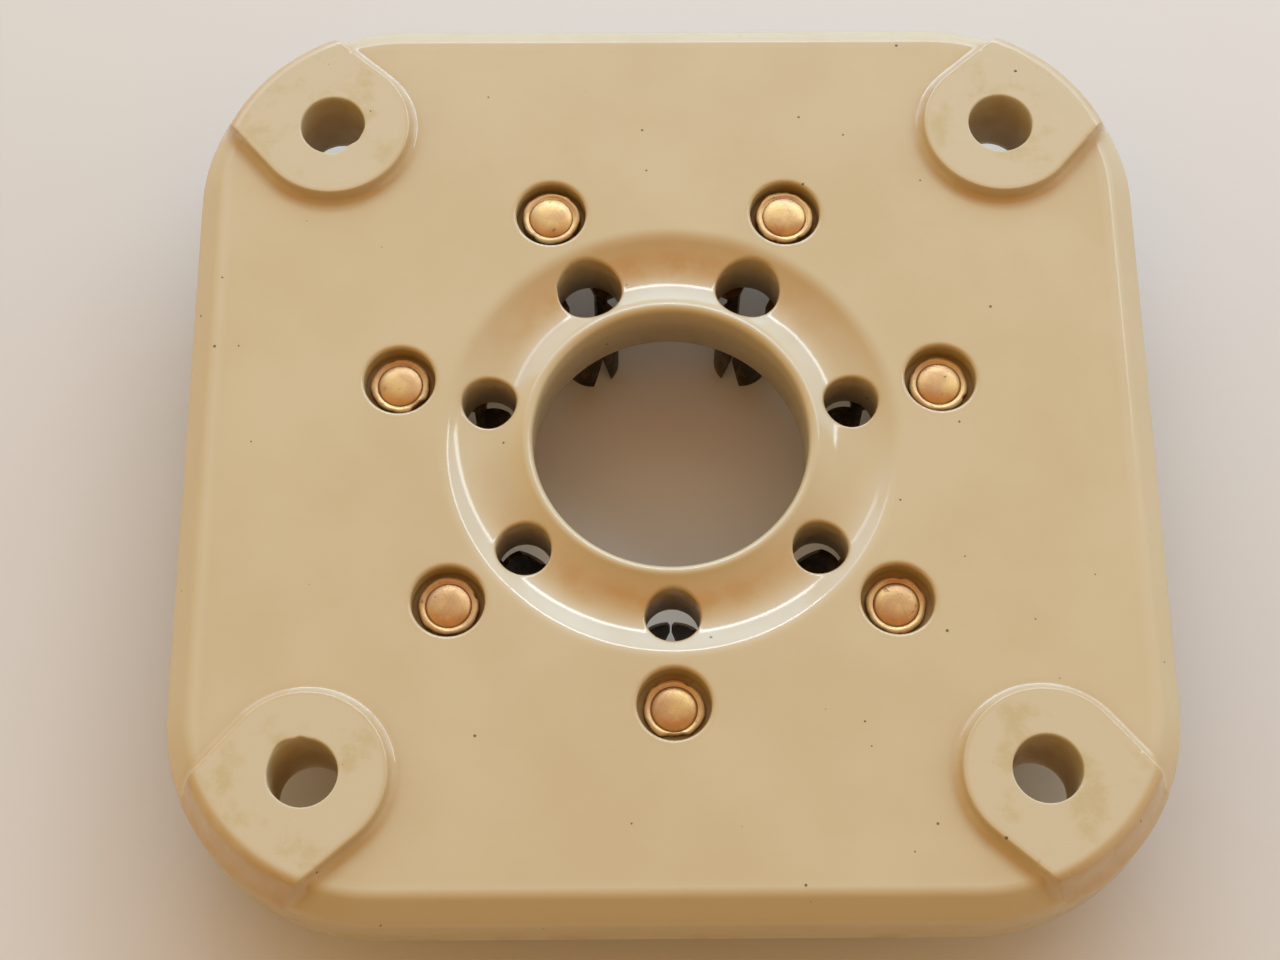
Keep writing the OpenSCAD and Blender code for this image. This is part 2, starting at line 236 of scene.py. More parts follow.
class Wiring:
    """Adds nodes to a tree and links them."""

    def __init__(self, tree):
        self.nodes = tree.nodes
        self.links = tree.links

    def add(self, kind, inputs=None, **settings):
        node = self.nodes.new(kind)
        for key, value in settings.items():
            setattr(node, key, value)
        return self.fill(node, inputs or {})

    def fill(self, node, inputs):
        """Link or set a node's inputs."""
        for key, value in inputs.items():
            if isinstance(value, bpy.types.NodeSocket):
                self.links.new(value, node.inputs[key])
            else:
                node.inputs[key].default_value = value
        return node

    def noise(self, vector, scale, detail, roughness):
        return self.add("ShaderNodeTexNoise", {"Vector": vector, "Scale": scale, "Detail": detail,
                                               "Roughness": roughness}).outputs["Fac"]

    def ramp(self, value, low, high, to_low=0.0, to_high=1.0):
        return self.add("ShaderNodeMapRange", {"Value": value, "From Min": low, "From Max": high,
                                               "To Min": to_low, "To Max": to_high},
                        interpolation_type="SMOOTHSTEP").outputs["Result"]

    def math(self, operation, first, second):
        return self.add("ShaderNodeMath", {0: first, 1: second}, operation=operation).outputs[0]

    def mix(self, share_in, first, second):
        """Mix two colours, which a mix node has as inputs 6 and 7 and puts out as output 2."""
        tones = [tone if isinstance(tone, bpy.types.NodeSocket) else rgba(tone) for tone in (first, second)]
        return self.add("ShaderNodeMix", {0: share_in, 6: tones[0], 7: tones[1]}, data_type="RGBA").outputs[2]

    def blend(self, share_in, first, second):
        """Mix two values, which a mix node has as inputs 2 and 3 and puts out as output 0."""
        return self.add("ShaderNodeMix", {0: share_in, 2: first, 3: second}, data_type="FLOAT").outputs[0]

    def painted(self, name):
        return self.add("ShaderNodeAttribute", attribute_name=name).outputs["Fac"]

    def stretched(self, vector, scale):
        return self.add("ShaderNodeMapping", {"Vector": vector, "Scale": scale}).outputs["Vector"]

    def bump(self, height, strength, distance):
        inputs = {"Height": height, "Strength": strength, "Distance": distance}
        return self.add("ShaderNodeBump", inputs).outputs["Normal"]

    def clouds(self, vector, scale, low, high):
        """Soft clouds and a fine grain."""
        inputs = {"Vector": vector, "Scale": scale, "Low": low, "High": high}
        return self.add("ShaderNodeGroup", inputs, node_tree=cloudy_group()).outputs

    def scratches(self, vector, scale, amount):
        inputs = {"Vector": vector, "Scale": scale, "Amount": amount}
        return self.add("ShaderNodeGroup", inputs, node_tree=scratch_group()).outputs["Scratches"]


def rgba(tone):
    return (tone[0], tone[1], tone[2], 1.0)


def new_group(name, numbers, outputs):
    """Shader node group over a vector and numbers, its wiring, its inputs and its output node."""
    tree = bpy.data.node_groups.new(name, "ShaderNodeTree")
    tree.interface.new_socket("Vector", in_out="INPUT", socket_type="NodeSocketVector")
    for label, default in numbers.items():
        socket = tree.interface.new_socket(label, in_out="INPUT", socket_type="NodeSocketFloat")
        socket.default_value = default
    for label in outputs:
        tree.interface.new_socket(label, in_out="OUTPUT", socket_type="NodeSocketFloat")
    w = Wiring(tree)
    return tree, w, w.add("NodeGroupInput").outputs, w.add("NodeGroupOutput")


def cloudy_group():
    """Group for soft clouds and a fine grain, built once."""
    name = "Cloudy Variation"
    if name in bpy.data.node_groups:
        return bpy.data.node_groups[name]
    tree, w, ins, out = new_group(name, {"Scale": 100.0, "Low": 0.35, "High": 0.65}, ("Clouds", "Grain"))
    wide = w.noise(ins["Vector"], ins["Scale"], 4.0, 0.55)
    fine = w.noise(ins["Vector"], w.math("MULTIPLY", ins["Scale"], 17.0), 3.0, 0.6)
    w.fill(out, {"Clouds": w.ramp(wide, ins["Low"], ins["High"]), "Grain": fine})
    return tree


def scratch_group():
    """Group for fine scratches in three crossing directions, built once."""
    name = "Crossing Scratches"
    if name in bpy.data.node_groups:
        return bpy.data.node_groups[name]
    tree, w, ins, out = new_group(name, {"Scale": 900.0, "Amount": 0.5}, ("Scratches",))
    masks = []
    for turn, stretch in ((0.5, (1.0, 0.05, 0.3)), (1.9, (1.0, 0.07, 0.3)), (2.7, (1.0, 0.04, 0.3))):
        turned = w.add("ShaderNodeVectorRotate", {"Vector": ins["Vector"], "Angle": turn},
                       rotation_type="Z_AXIS").outputs["Vector"]
        lines = w.noise(w.stretched(turned, stretch), ins["Scale"], 2.0, 0.6)
        masks.append(w.ramp(lines, 0.60, 0.66))
    all_marks = w.math("MAXIMUM", w.math("MAXIMUM", masks[0], masks[1]), masks[2])
    w.fill(out, {"Scratches": w.math("MULTIPLY", all_marks, ins["Amount"])})
    return tree


def new_material(name):
    """Material with one Principled BSDF, and its object coordinates."""
    material = bpy.data.materials.new(name)
    material.use_nodes = True
    material.node_tree.nodes.clear()
    w = Wiring(material.node_tree)
    shader = w.add("ShaderNodeBsdfPrincipled")
    w.add("ShaderNodeOutputMaterial", {"Surface": shader.outputs["BSDF"]})
    return material, w, shader, w.add("ShaderNodeTexCoord").outputs["Object"]


# Ceramic plate

# Radius of the soft edge of a rim in millimetres, and steps around it
PIN_RIM = (0.25, 72)
RIVET_RIM = (0.32, 80)
MOUNT_RIM = (0.16, 80)
CENTRE_RIM = (0, 224)
# Flaws of rims, as angle in degrees, reach in millimetres and half width in radians
PIN_FLAWS = {4: ((170, 0.09, 0.16),)}
MOUNT_LUMP = ((-52, -0.32, 0.30), (-20, -0.10, 0.2))
MOUNT_CHIP = ((128, 0.26, 0.34), (95, 0.12, 0.12), (205, 0.06, 0.2))
# Mounting holes, as sides along X and Y, and flaws
MOUNTS = ((-1, 1, MOUNT_LUMP), (1, 1, ()), (-1, -1, MOUNT_CHIP), (1, -1, ()))
# Shares of painted shade, a darker brown, on the walls and floors of the rivets' recesses and on the walls of
# the mounting holes
RECESS_SHADE, MOUNT_SHADE = 1.0, 0.6
# Width of the step at the edge of the recess under the plate, in millimetres
RECESS_STEP = 0.24
# Least distance of a mesh point from an edge, in millimetres
EDGE_MARGIN = 0.004


class Hole:
    """Round hole through the plate's top, with the flaws of its rim."""

    def __init__(self, x, y, radius, ease, steps, flaws=(), floor=None, through=None):
        self.x, self.y = x, y
        self.radius, self.ease, self.steps = radius, ease, steps
        self.flaws = flaws
        self.floor = floor
        self.through = through if through is not None else radius
        self.angles = np.arange(steps) * 2 * math.pi / steps

    def rim(self, angles):
        reach = np.full(np.shape(angles), self.radius)
        for at, size, spread in self.flaws:
            turn = np.angle(np.exp(1j * (angles - math.radians(at))))
            reach = reach + size * np.exp(-(turn / spread) ** 2)
        return reach

    def ring(self, out):
        reach = self.rim(self.angles) + out
        return np.column_stack([self.x + reach * np.cos(self.angles), self.y + reach * np.sin(self.angles)])

    def clear(self, x, y):
        """Distance outwards from the rim."""
        angles = np.arctan2(y - self.y, x - self.x)
        return np.hypot(x - self.x, y - self.y) - self.rim(angles)


def eased_bevel(inset, run, drop, ease):
    """Height along a bevel from its upper flat, by distance in from its lower edge."""
    slope = math.atan2(drop, run)
    crown = ease * math.tan(slope / 2)
    brow_turn = math.pi / 2 - slope
    brow = ease * math.tan(brow_turn / 2)
    inset = np.asarray(inset, dtype=float)
    height = -(run - inset) * math.tan(slope)
    at_crown = inset > run - crown * math.cos(slope)
    bend = np.clip(run + crown - inset, 0, ease)
    height = np.where(at_crown, -ease + np.sqrt(ease ** 2 - bend ** 2), height)
    at_brow = inset < brow * math.cos(slope)
    bend = np.clip(ease - np.maximum(inset, 0), 0, ease)
    return np.where(at_brow, -drop - brow + np.sqrt(ease ** 2 - bend ** 2), height)


def wall_profile(height, lean, top_ease, foot_ease):
    """Distances and heights down a leaning wall from a flat to a flat, with eased edges."""
    turn = math.pi / 2 - lean
    middle = height / 2
    top = -middle * math.tan(lean)
    foot = middle * math.tan(lean)
    top_run = top_ease * math.tan(turn / 2)
    foot_run = foot_ease * math.tan(turn / 2)
    points = []
    for step in np.linspace(0, turn, 7):
        points.append((top - top_run + top_ease * math.sin(step), height - top_ease * (1 - math.cos(step))))
    for step in np.linspace(turn, 0, 9):
        points.append((foot + foot_run - foot_ease * math.sin(step), foot_ease * (1 - math.cos(step))))
    return np.array(points)


class PlateShape:
    """Surfaces of the plate as heights over its plan, in millimetres."""

    # Shares of a rim's soft edge at which the mesh has rings
    RIM_STEPS = (0.06, 0.23, 0.43, 0.66, 1.0)

    def __init__(self, s):
        self.half = s.width / MM / 2
        self.corner = s.corner / MM
        self.bevel, self.bevel_ease = s.bevel / MM, s.bevel_ease / MM
        self.pad_height, self.pad_radius = s.pad_height / MM, s.pad_radius / MM
        self.pad_bevel, self.pad_tuck = s.pad_bevel / MM, s.pad_tuck / MM
        self.pad_taper = s.pad_taper
        self.foot_ease = s.foot_ease / MM
        self.top_z = -self.pad_height
        self.low_z = -s.depth / MM
        self.floor_z = self.low_z + s.recess_depth / MM
        self.recess = s.recess / MM / 2
        self.mount = s.mount_pitch / MM / 2
        self.pad_wall = wall_profile(self.pad_height, s.pad_draft, s.pad_ease / MM, s.pad_fillet / MM)
        self.set_groove(s)
        self.set_holes(s)

    def set_groove(self, s):
        reach, depth, edge = s.groove_width / MM / 2, s.groove_depth / MM, s.groove_edge / MM
        self.pin_circle = s.pin_circle / MM / 2
        self.centre_hole = s.centre_hole / MM / 2
        self.trough = (reach ** 2 + depth ** 2) / (2 * depth)
        self.trough_z = self.trough - depth
        lip_reach = self.pin_circle - self.centre_hole
        lip_b = lip_reach + depth
        lip_c = lip_reach ** 2 + self.trough_z ** 2 - self.trough ** 2
        self.lip = lip_b - math.sqrt(lip_b ** 2 - lip_c)
        self.lip_at = self.centre_hole + self.lip
        span = self.trough + self.lip
        self.lip_end = self.pin_circle - (self.pin_circle - self.lip_at) * self.trough / span
        self.edge = edge
        run = math.sqrt((self.trough + edge) ** 2 - (self.trough_z + edge) ** 2)
        self.edge_at = self.pin_circle + run
        self.edge_start = self.pin_circle + run * self.trough / (self.trough + edge)

    def set_holes(self, s):
        self.pin_holes, self.rivet_holes = [], []
        rivet_circle = s.rivet_circle / MM / 2
        recess, through = s.rivet_recess / MM / 2, s.rivet_hole / MM / 2
        floor = self.top_z - s.rivet_recess_depth / MM
        for pin in range(1, PIN_COUNT + 1):
            turn = pin_angle(pin)
            cos_t, sin_t = math.cos(turn), math.sin(turn)
            radius = (s.heater_hole if pin in HEATER_PINS else s.pin_hole) / MM / 2
            self.pin_holes.append(Hole(self.pin_circle * cos_t, self.pin_circle * sin_t, radius, *PIN_RIM,
                                       PIN_FLAWS.get(pin, ())))
            self.rivet_holes.append(Hole(rivet_circle * cos_t, rivet_circle * sin_t, recess, *RIVET_RIM, (),
                                         floor, through))
        radius = s.mount_hole / MM / 2
        self.mount_holes = [Hole(sx * self.mount, sy * self.mount, radius, *MOUNT_RIM, flaws)
                            for sx, sy, flaws in MOUNTS]
        self.centre = Hole(0, 0, self.centre_hole, *CENTRE_RIM)
        self.rims = self.pin_holes + self.rivet_holes + self.mount_holes

    def inset(self, x, y):
        """Distance in from the plate's outline."""
        qx = np.abs(x) - (self.half - self.corner)
        qy = np.abs(y) - (self.half - self.corner)
        away = np.hypot(np.maximum(qx, 0), np.maximum(qy, 0)) + np.minimum(np.maximum(qx, qy), 0)
        return self.corner - away

    def pad_side(self, x, y):
        """Distance out from the nearest pad's side."""
        u = (np.abs(x) + np.abs(y) - 2 * self.mount) / math.sqrt(2)
        v = np.abs(np.abs(x) - np.abs(y)) / math.sqrt(2)
        cos_t, sin_t = math.cos(self.pad_taper), math.sin(self.pad_taper)
        along = u * cos_t - v * sin_t
        return np.where(along > 0, u * sin_t + v * cos_t, np.hypot(u, v)) - self.pad_radius

    def groove(self, r):
        """Depth of the groove, the lip included, as a height from the flat top."""
        bend = np.clip(r - self.lip_at, -self.lip, self.lip)
        lip = -self.lip + np.sqrt(self.lip ** 2 - bend ** 2)
        bend = np.clip(r - self.pin_circle, -self.trough, self.trough)
        trough = self.trough_z - np.sqrt(self.trough ** 2 - bend ** 2)
        bend = np.clip(self.edge_at - r, 0, self.edge)
        edge = -self.edge + np.sqrt(self.edge ** 2 - bend ** 2)
        return np.where(r < self.lip_end, lip, np.where(r < self.edge_start, trough, edge))

    def pad_share(self, x, y):
        side = self.pad_side(x, y)
        return np.interp(side, self.pad_wall[:, 0], self.pad_wall[:, 1] / self.pad_height)

    def top(self, x, y):
        inset = self.inset(x, y)
        plate = eased_bevel(inset, self.bevel, self.bevel, self.bevel_ease) + self.top_z
        run = self.pad_bevel - self.pad_tuck
        drop = self.pad_height + self.bevel
        pad = eased_bevel(inset - self.pad_tuck, run, drop, self.bevel_ease)
        height = plate + np.maximum(pad - plate, 0) * self.pad_share(x, y)
        height = height + self.groove(np.hypot(x, y))
        for hole in self.rims:
            near = np.clip(hole.clear(x, y), 0, hole.ease)
            height = height - (hole.ease - np.sqrt(hole.ease ** 2 - (hole.ease - near) ** 2))
        return height

    def bottom(self, x, y):
        r = np.hypot(x, y)
        step = np.clip((r - self.recess) / RECESS_STEP + 0.5, 0, 1)
        step = step * step * (3 - 2 * step)
        height = self.floor_z + (self.low_z - self.floor_z) * step
        ease = self.foot_ease
        near = np.clip(self.inset(x, y), 0, ease)
        return height + ease - np.sqrt(ease ** 2 - (ease - near) ** 2)

    def wall_steps(self, hole):
        """Share of painted shade on a hole's wall, and the radius and height of the rings between its rims.
        """
        if hole.floor is not None:
            return RECESS_SHADE, (
                (hole.radius, self.top_z - hole.ease - 0.3),
                (hole.radius, hole.floor + 0.25),
                (hole.radius - 0.07, hole.floor + 0.07),
                (hole.radius - 0.25, hole.floor),
                (hole.through + 0.12, hole.floor),
                (hole.through, hole.floor - 0.12),
            )
        if hole in self.mount_holes:
            return MOUNT_SHADE, ((hole.radius, -0.7), (hole.through, self.low_z + 0.5))
        return 0.0, ()

    def outline(self, inset, arc_steps=48, side_steps=60):
        """Points around the plate at a distance in from its outline."""
        points = []
        flat = self.half - self.corner
        radius = self.corner - inset
        for quarter in range(4):
            turn = quarter * math.pi / 2
            cos_t, sin_t = math.cos(turn), math.sin(turn)
            local = [(flat + radius, -flat + 2 * flat * k / side_steps) for k in range(side_steps)]
            for k in range(arc_steps):
                a = math.pi / 2 * k / arc_steps
                local.append((flat + radius * math.cos(a), flat + radius * math.sin(a)))
            points += [(px * cos_t - py * sin_t, px * sin_t + py * cos_t) for px, py in local]
        return np.array(points)

    def pad_loop(self, out):
        """Points around one pad's side at a distance out, for the pad towards +X +Y."""
        points = []
        reach = self.pad_radius + out
        taper = self.pad_taper
        for a in np.linspace(math.pi / 2 - taper, 3 * math.pi / 2 + taper, 120):
            points.append((reach * math.cos(a), reach * math.sin(a)))
        start = (reach * math.sin(taper), reach * math.cos(taper))
        for along in np.arange(0.3, 14, 0.3):
            px = start[0] + along * math.cos(taper)
            py = start[1] - along * math.sin(taper)
            points += [(px, py), (px, -py)]
        local = np.array(points)
        c = math.sqrt(0.5)
        return np.column_stack([self.mount + c * (local[:, 0] - local[:, 1]),
                                self.mount + c * (local[:, 0] + local[:, 1])])


class Plan:
    """Points and fixed edges of a plan, gathered feature by feature."""

    def __init__(self):
        self.points = []
        self.edges = []

    def loop(self, ring):
        start = len(self.points)
        count = len(ring)
        self.points += [tuple(p) for p in ring]
        self.edges += [(start + k, start + (k + 1) % count) for k in range(count)]
        return list(range(start, start + count))

    def scatter(self, points, gap):
        """Add the points that lie at least a gap away from all points added before."""
        tree = KDTree(len(self.points))
        for k, (x, y) in enumerate(self.points):
            tree.insert((x, y, 0), k)
        tree.balance()
        self.points += [(x, y) for x, y in points if tree.find((x, y, 0))[2] >= gap]

    def triangles(self, keep):
        """Triangulate the plan, and keep the faces whose middle passes a test."""
        found = delaunay_2d_cdt([Vector(p) for p in self.points], self.edges, [], 0, 1e-6)
        places = np.array([(v.x, v.y) for v in found[0]])
        faces = np.array(found[2])
        middles = places[faces].mean(axis=1)
        faces = faces[keep(middles[:, 0], middles[:, 1])]
        index = {}
        for new, olds in enumerate(found[3]):
            for old in olds:
                index[old] = new
        return places, faces, index


def pin_angle(pin):
    return -math.pi / 2 - (pin - 1) * 2 * math.pi / PIN_COUNT


def open_between(shape, holes, margin=0.0):
    """Test that a place lies inside the outline and outside the holes."""
    def test(x, y):
        inside = shape.inset(x, y) > margin
        for hole in holes:
            inside &= hole.clear(x, y) > margin
        return inside
    return test


def filtered(points, test):
    points = np.asarray(points)
    return points[test(points[:, 0], points[:, 1])]


def middle_circle(radius):
    """Points of a circle around the middle of the plate."""
    steps = CENTRE_RIM[1]
    angles = np.arange(steps) * 2 * math.pi / steps
    return np.column_stack([radius * np.cos(angles), radius * np.sin(angles)])


def staggered_grid(reach, pitch, shift):
    """Points of a square grid, every other row of which is shifted."""
    grid = np.arange(-reach, reach + 0.1, pitch)
    x, y = np.meshgrid(grid, grid)
    shifts = (np.arange(len(grid)) % 2)[:, None] * shift
    return np.column_stack([(x + shifts).ravel(), y.ravel()])


def plate_top(shape):
    """Plan of the plate's upper side, with its rims as loops."""
    plan = Plan()
    holes = shape.rims + [shape.centre]
    loops = {"outline": plan.loop(shape.outline(0))}
    for hole in holes:
        loops[hole] = plan.loop(hole.ring(0))
    free = open_between(shape, holes, EDGE_MARGIN)
    rings = []
    for hole in shape.rims:
        for step in shape.RIM_STEPS:
            rings.append(hole.ring(hole.ease * step))
        rings += [hole.ring(hole.ease + 0.12), hole.ring(hole.ease + 0.4)]
    plan.scatter(filtered(np.vstack(rings), free), gap=0.008)
    spans = np.concatenate([
        shape.lip_at - shape.lip * np.cos(np.radians(np.arange(12, 180, 14))),
        np.arange(shape.lip_end + 0.12, shape.edge_start, 0.3),
        np.linspace(shape.edge_start, shape.edge_at, 9),
        [shape.edge_at + 0.15, shape.edge_at + 0.6],
    ])
    spans = spans[(spans < shape.lip_end) | (spans > shape.lip_end + 0.1)]
    groove = np.vstack([middle_circle(r) for r in spans])
    plan.scatter(filtered(groove, free), gap=0.05)
    sides = np.concatenate([[-1.2, -0.6], shape.pad_wall[:, 0], [1.1, 1.7]])
    corner = np.vstack([shape.pad_loop(out) for out in sides])
    pads = np.vstack([corner * (sx, sy) for sx in (1, -1) for sy in (1, -1)])
    plan.scatter(filtered(pads, open_between(shape, holes, margin=0.02)), gap=0.03)
    ease = shape.bevel_ease
    crown = shape.bevel + ease * math.tan(math.pi / 8)
    insets = np.concatenate([
        ease * (1 - np.cos(np.radians((10, 20, 30, 45)))),
        np.arange(0.6, 1.7, 0.22),
        crown - ease * np.sin(np.radians((45, 34, 23, 12, 0))),
        [crown + 0.1, crown + 0.3, crown + 0.8],
    ])
    edge = np.vstack([shape.outline(i) for i in insets])
    plan.scatter(filtered(edge, free), gap=0.05)
    fill = staggered_grid(41.5, 1.15, 0.55)
    fill = fill[shape.inset(fill[:, 0], fill[:, 1]) > crown + 1.4]
    plan.scatter(filtered(fill, open_between(shape, holes, margin=0.3)), gap=0.5)
    places, faces, index = plan.triangles(open_between(shape, holes))
    heights = shape.top(places[:, 0], places[:, 1])
    return np.column_stack([places, heights]), faces, {k: [index[i] for i in v] for k, v in loops.items()}


def plate_bottom(shape):
    """Plan of the plate's underside, with the same loops as the upper side."""
    plan = Plan()
    holes = [Hole(hole.x, hole.y, hole.through, 0, hole.steps) for hole in shape.rims + [shape.centre]]
    loops = [plan.loop(shape.outline(0))] + [plan.loop(hole.ring(0)) for hole in holes]
    free = open_between(shape, holes, EDGE_MARGIN)
    rings = [hole.ring(0.3) for hole in holes]
    rings += [shape.outline(i) for i in (0.03, 0.12, 0.25, 0.4, 0.7)]
    steps = (-0.5, -0.12, -0.08, -0.04, 0, 0.04, 0.08, 0.12, 0.5)
    rings += [middle_circle(shape.recess + step) for step in steps]
    plan.scatter(filtered(np.vstack(rings), free), gap=0.02)
    fill = staggered_grid(41, 2.0, 1.0)
    plan.scatter(filtered(fill, open_between(shape, holes, margin=0.5)), gap=0.7)
    places, faces, index = plan.triangles(open_between(shape, holes))
    heights = shape.bottom(places[:, 0], places[:, 1])
    return np.column_stack([places, heights]), faces[:, ::-1], [[index[i] for i in loop] for loop in loops]


def plate_mesh(shape):
    """Closed mesh of the plate, the count of its upper vertices, and the share of painted shade at each
    vertex.
    """
    top, top_faces, top_loops = plate_top(shape)
    low, low_faces, low_loops = plate_bottom(shape)
    start = len(top)
    vertices = [tuple(v) for v in top] + [tuple(v) for v in low]
    faces = [tuple(f) for f in top_faces] + [tuple(start + i for i in f) for f in low_faces]
    dirt_and_shade = [0.0] * len(vertices)

    def strip(upper, lower, inward):
        for k in range(len(upper)):
            m = (k + 1) % len(upper)
            quad = (upper[k], lower[k], lower[m], upper[m])
            faces.append(quad[::-1] if inward else quad)

    def ring_at(hole, radius, z, shade_share):
        begin = len(vertices)
        for a in hole.angles:
            vertices.append((hole.x + radius * math.cos(a), hole.y + radius * math.sin(a), z))
        dirt_and_shade.extend([shade_share] * hole.steps)
        return list(range(begin, begin + hole.steps))

    lows = [[start + i for i in loop] for loop in low_loops]
    strip(top_loops["outline"], lows[0], False)
    for hole, lower in zip(shape.rims + [shape.centre], lows[1:]):
        shade_share, steps = shape.wall_steps(hole)
        rings = [top_loops[hole]] + [ring_at(hole, radius, z, shade_share) for radius, z in steps] + [lower]
        for first, second in zip(rings, rings[1:]):
            strip(first, second, True)
    return np.array(vertices), faces, start, np.array(dirt_and_shade)


def fade(value, none, full):
    """Share that grows from 0 at one value to 1 at another."""
    return np.clip((value - none) / (full - none), 0, 1)


def swell(value, middle, width):
    """Share that is 1 at a value and falls off softly on both sides."""
    return np.exp(-((value - middle) / width) ** 2)


def plate_paint(shape, vertices, top_count):
    """Shares of bare ceramic, and of pooled glaze with painted shade, at each vertex."""
    x, y, z = vertices.T
    side = shape.pad_side(x, y)
    inset = shape.inset(x, y)
    r = np.hypot(x, y)
    on_top = np.arange(len(vertices)) < top_count
    under = (~on_top) & (inset > 0.3)
    pad = fade(side, -0.30, -0.65) * fade(inset, 1.9, 2.4)
    crown = fade(inset, 3.2, 2.7) * fade(side, 0.5, 1.5) * 0.5
    foot = fade(z, shape.low_z + 1.6, shape.low_z + 1.2)
    bare = np.where(under, 1.0, np.where(on_top, np.maximum(pad, crown), foot))
    # Across is 1 at the back of the groove and -1 at its front
    across, along = y / np.maximum(r, 1), x / np.maximum(r, 1)
    # Painted shade: the groove takes the pooled tone only at its back and front, where its walls face away
    # from the light, and less on its right side
    groove = swell(r - 0.75 * across, shape.pin_circle, 1.6) * np.abs(across) ** 1.5
    groove = np.clip(groove * (1 - 0.25 * along), 0, 1)
    # Pooled glaze with painted shade at the pads' feet, on the pads' outer bevels and around the rims
    pad_foot_pool_and_shade = swell(side, 0.35, 0.55) * fade(inset, 0.4, 1.9) * 0.5
    cheek = fade(side, 0.1, -0.2) * fade(inset, 2.2, 1.8) * 0.5
    rims = [swell(np.maximum(hole.clear(x, y), 0), 0, 0.35) * 0.4 for hole in shape.rims]
    pool = np.maximum.reduce([groove, pad_foot_pool_and_shade, cheek] + rims)
    return bare, np.where(on_top, pool, np.where(under, 0.5, 0.45))


def speckle(w, place, scale, rarity, sizes):
    """Small round specks, few and of different sizes, as a mask."""
    cells = w.add("ShaderNodeTexVoronoi", {"Vector": place, "Scale": scale}, feature="F1")
    draw = w.add("ShaderNodeSeparateColor", {"Color": cells.outputs["Color"]}).outputs
    size = w.ramp(draw["Green"], 0.0, 1.0, *sizes)
    spot = w.math("LESS_THAN", cells.outputs["Distance"], size)
    return w.math("MULTIPLY", spot, w.math("GREATER_THAN", draw["Red"], rarity))


def glaze_material(s):
    material, w, shader, place = new_material("Cream Glaze")
    clouds = w.clouds(place, 70.0, 0.3, 0.7)["Clouds"]
    streaks = w.clouds(place, 420.0, 0.4, 0.62)
    bare = w.painted("bare")
    tone = w.mix(w.math("MULTIPLY", clouds, 0.8), s.glaze, s.pale)
    # The pooled tone stands for gathered glaze and for painted shade
    pool_and_shade_share = w.math("MULTIPLY", w.painted("pool"), w.blend(streaks["Clouds"], 0.75, 1.0))
    tone = w.mix(pool_and_shade_share, tone, s.pool)
    blotches = w.ramp(w.noise(place, 230.0, 5.0, 0.6), 0.5, 0.66)
    stained = w.math("MULTIPLY", blotches, w.ramp(bare, 0.6, 1.0, 0.0, 0.5))
    ground = w.mix(stained, s.bare, s.stain)
    ground = w.mix(w.math("MULTIPLY", streaks["Grain"], 0.25), ground, s.glaze)
    tone = w.mix(bare, tone, ground)
    dark = speckle(w, place, 560.0, 0.72, (0.02, 0.08))
    light = speckle(w, w.stretched(place, (1.3, 1.1, 1.2)), 700.0, 0.72, (0.02, 0.06))
    tone = w.mix(w.math("MULTIPLY", light, 0.5), tone, s.bare)
    tone = w.mix(w.math("MULTIPLY", dark, 0.8), tone, s.speck)
    # Painted shade darkens the walls of the recesses and of the mounting holes
    sunk = w.math("MULTIPLY", w.painted("sunk"), w.blend(streaks["Clouds"], 0.8, 1.0))
    waves = w.noise(place, 160.0, 2.0, 0.5)
    grit = w.math("MULTIPLY", streaks["Grain"], w.blend(bare, 0.012, 0.12))
    height = w.math("ADD", w.math("MULTIPLY", waves, 0.25), grit)
    w.fill(shader, {
        "Base Color": w.mix(sunk, tone, s.hollow_shade),
        "Roughness": w.blend(streaks["Clouds"], s.body - 0.06, s.body + 0.1),
        "Coat Weight": w.math("MULTIPLY", w.math("SUBTRACT", 1.0, bare), w.blend(clouds, 0.92, 1.0)),
        "Coat Roughness": s.gloss,
        "Coat IOR": 1.6,
        "Specular IOR Level": 0.3,
        "Normal": w.bump(height, 0.25, 0.0004),
    })
    return material


# Rivets

RIVET_STEPS = 96
# Tears of each rivet's spread end, as angle in degrees, depth in millimetres and half width in radians
RIVET_TEARS = (
    ((-88, 0.34, 0.40), (62, 0.10, 0.12), (128, 0.08, 0.08)),
    ((20, 0.10, 0.10), (200, 0.07, 0.2)),
    ((-50, 0.26, 0.30), (110, 0.07, 0.1)),
    ((-130, 0.08, 0.1), (40, 0.08, 0.15)),
    ((-110, 0.10, 0.08), (-60, 0.10, 0.09), (75, 0.07, 0.1)),
    ((150, 0.09, 0.12), (-30, 0.11, 0.1)),
    ((80, 0.15, 0.14), (35, 0.10, 0.2), (-85, 0.08, 0.08)),
)
# Height in millimetres by which each rivet's spread end stands above the lowest
RIVET_LIFT = (0, 0.3, 0.3, 0.7, 0.7, 0.2, 0)
# Rings of a rivet's mesh, from below, that are dull, and those that hold grime with painted shade: a dark
# seam at the spread end's outer edge and at the dome's foot
DULL_RINGS = range(8, 13)
SEAM_RINGS = (9, 10, 16)
# Shares of the dome's radius at which it has rings
DOME_STEPS = (0.95, 0.9, 0.82, 0.72, 0.6, 0.45, 0.3, 0.15, 0.06)


